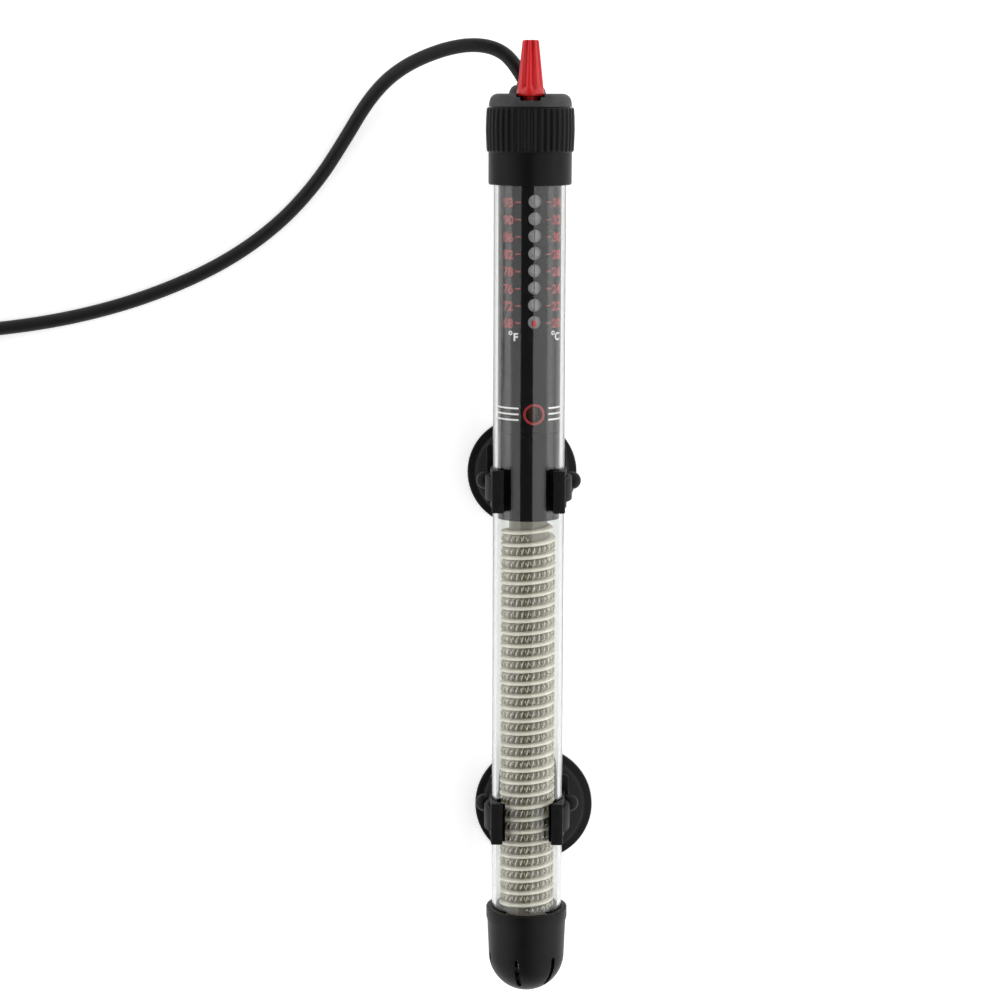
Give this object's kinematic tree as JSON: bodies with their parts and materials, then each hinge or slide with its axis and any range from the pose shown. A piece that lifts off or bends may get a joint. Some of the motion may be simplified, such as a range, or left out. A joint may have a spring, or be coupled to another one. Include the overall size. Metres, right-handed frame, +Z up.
{
  "type": "submersible aquarium heater",
  "caption": "Glass-tube submersible aquarium heater with a red temperature dial, visible heating coil and clip-on suction cups, with its power cord and plug.",
  "frame": {"origin": "centre of the heater's box, without its cord, on the surface that the suction cups rest on", "axes": "+Y along the tube towards the knob, +Z up from the suction cups to the front with the scale, +X to the right of the scale"},
  "size_m": [0.2837, 0.3245, 0.0436],
  "materials": {
    "clear_glass": "polished",
    "black_plastic": "satin",
    "black_collar": "satin",
    "black_rubber": "matte",
    "cup_rubber": "satin",
    "red_plastic": "satin",
    "brass": "satin",
    "printed_black": "satin",
    "grey_plastic": "satin",
    "fibre_board": "matte",
    "bimetal": "satin",
    "silver_contact": "satin",
    "magnet_iron": "matte",
    "lamp_glass": "polished",
    "resistor_body": "satin",
    "wire_insulation": "matte",
    "mica": "satin",
    "ivory_ceramic": "matte",
    "resistance_wire": "satin",
    "white_silicone": "matte",
    "cord_jacket": "satin",
    "plug_plastic": "satin",
    "plug_brass": "satin"
  },
  "bodies": {
    "heater": {"glass_tube": "clear_glass", "cap_body": "black_plastic", "cap_collar": "black_collar", "cap_gasket": "black_rubber", "tube_stopper": "black_rubber", "cord_strain_relief": "cord_jacket", "spindle_seal": "black_rubber", "scale_sleeve": "printed_black", "lower_sleeve": "printed_black", "pointer_guide": "grey_plastic", "thermostat_board": "fibre_board", "bimetal_strip": "bimetal", "bimetal_post": "brass", "contact_points": "silver_contact", "snap_magnet": "magnet_iron", "indicator_lamp": "lamp_glass", "lamp_cradle": "grey_plastic", "lamp_resistor": "resistor_body", "lead_wires": "wire_insulation", "heat_shield": "mica", "ceramic_former": "ivory_ceramic", "heating_coil": "resistance_wire", "coil_terminals": "brass", "end_spacer": "mica", "bottom_cap": "black_plastic", "tube_cushion": "white_silicone", "cord_run": "cord_jacket", "cord_coil": "cord_jacket", "cord_tail": "cord_jacket", "cord_tie": "black_plastic", "plug_body": "plug_plastic", "plug_blades": "plug_brass"},
    "dial": {"temperature_knob": "red_plastic", "knob_spindle": "brass"},
    "pointer": {"temperature_pointer": "red_plastic"},
    "liner_upper": {"clip_liner_upper": "black_rubber"},
    "clip_upper": {"tube_clip_upper": "black_plastic", "clip_pin_upper": "black_plastic"},
    "carrier_upper": {"cup_carrier_upper": "black_plastic"},
    "cup_upper": {"suction_cup_upper": "cup_rubber"},
    "liner_lower": {"clip_liner_lower": "black_rubber"},
    "clip_lower": {"tube_clip_lower": "black_plastic", "clip_pin_lower": "black_plastic"},
    "carrier_lower": {"cup_carrier_lower": "black_plastic"},
    "cup_lower": {"suction_cup_lower": "cup_rubber"}
  },
  "joints": [
    {"name": "knob_turn", "type": "hinge", "parent": "heater", "child": "dial", "pos_m": [0, 0.152, 0.0352], "axis": [0, -1, 0], "range_deg": [0, 1800]},
    {"name": "pointer_travel", "type": "slide", "parent": "heater", "child": "pointer", "axis": [0, 1, 0], "range_m": [0, 0.0395]},
    {"name": "clip_slide_upper", "type": "slide", "parent": "heater", "child": "liner_upper", "axis": [0, 1, 0], "range_m": [-0.04, 0.09]},
    {"name": "clip_swivel_upper", "type": "hinge", "parent": "liner_upper", "child": "clip_upper", "pos_m": [0, 0.01385, 0.029], "axis": [0, 1, 0], "continuous": true},
    {"name": "cup_tilt_upper", "type": "hinge", "parent": "clip_upper", "child": "carrier_upper", "pos_m": [0, 0.01385, 0.0135], "axis": [1, 0, 0], "range_deg": [-15, 15]},
    {"name": "cup_spin_upper", "type": "hinge", "parent": "carrier_upper", "child": "cup_upper", "pos_m": [-0.0023, 0.0149, 0], "axis": [0, 0, 1], "continuous": true},
    {"name": "clip_slide_lower", "type": "slide", "parent": "heater", "child": "liner_lower", "axis": [0, 1, 0], "range_m": [-0.022, 0.038]},
    {"name": "clip_swivel_lower", "type": "hinge", "parent": "liner_lower", "child": "clip_lower", "pos_m": [0, -0.09985, 0.029], "axis": [0, 1, 0], "continuous": true},
    {"name": "cup_tilt_lower", "type": "hinge", "parent": "clip_lower", "child": "carrier_lower", "pos_m": [0, -0.09985, 0.0135], "axis": [1, 0, 0], "range_deg": [-15, 15]},
    {"name": "cup_spin_lower", "type": "hinge", "parent": "carrier_lower", "child": "cup_lower", "pos_m": [0.0023, -0.1037, 0], "axis": [0, 0, 1], "continuous": true}
  ],
  "couplings": [
    {"joint": "pointer_travel", "follows": "knob_turn", "m_per_rad": 0.0012567}
  ]
}
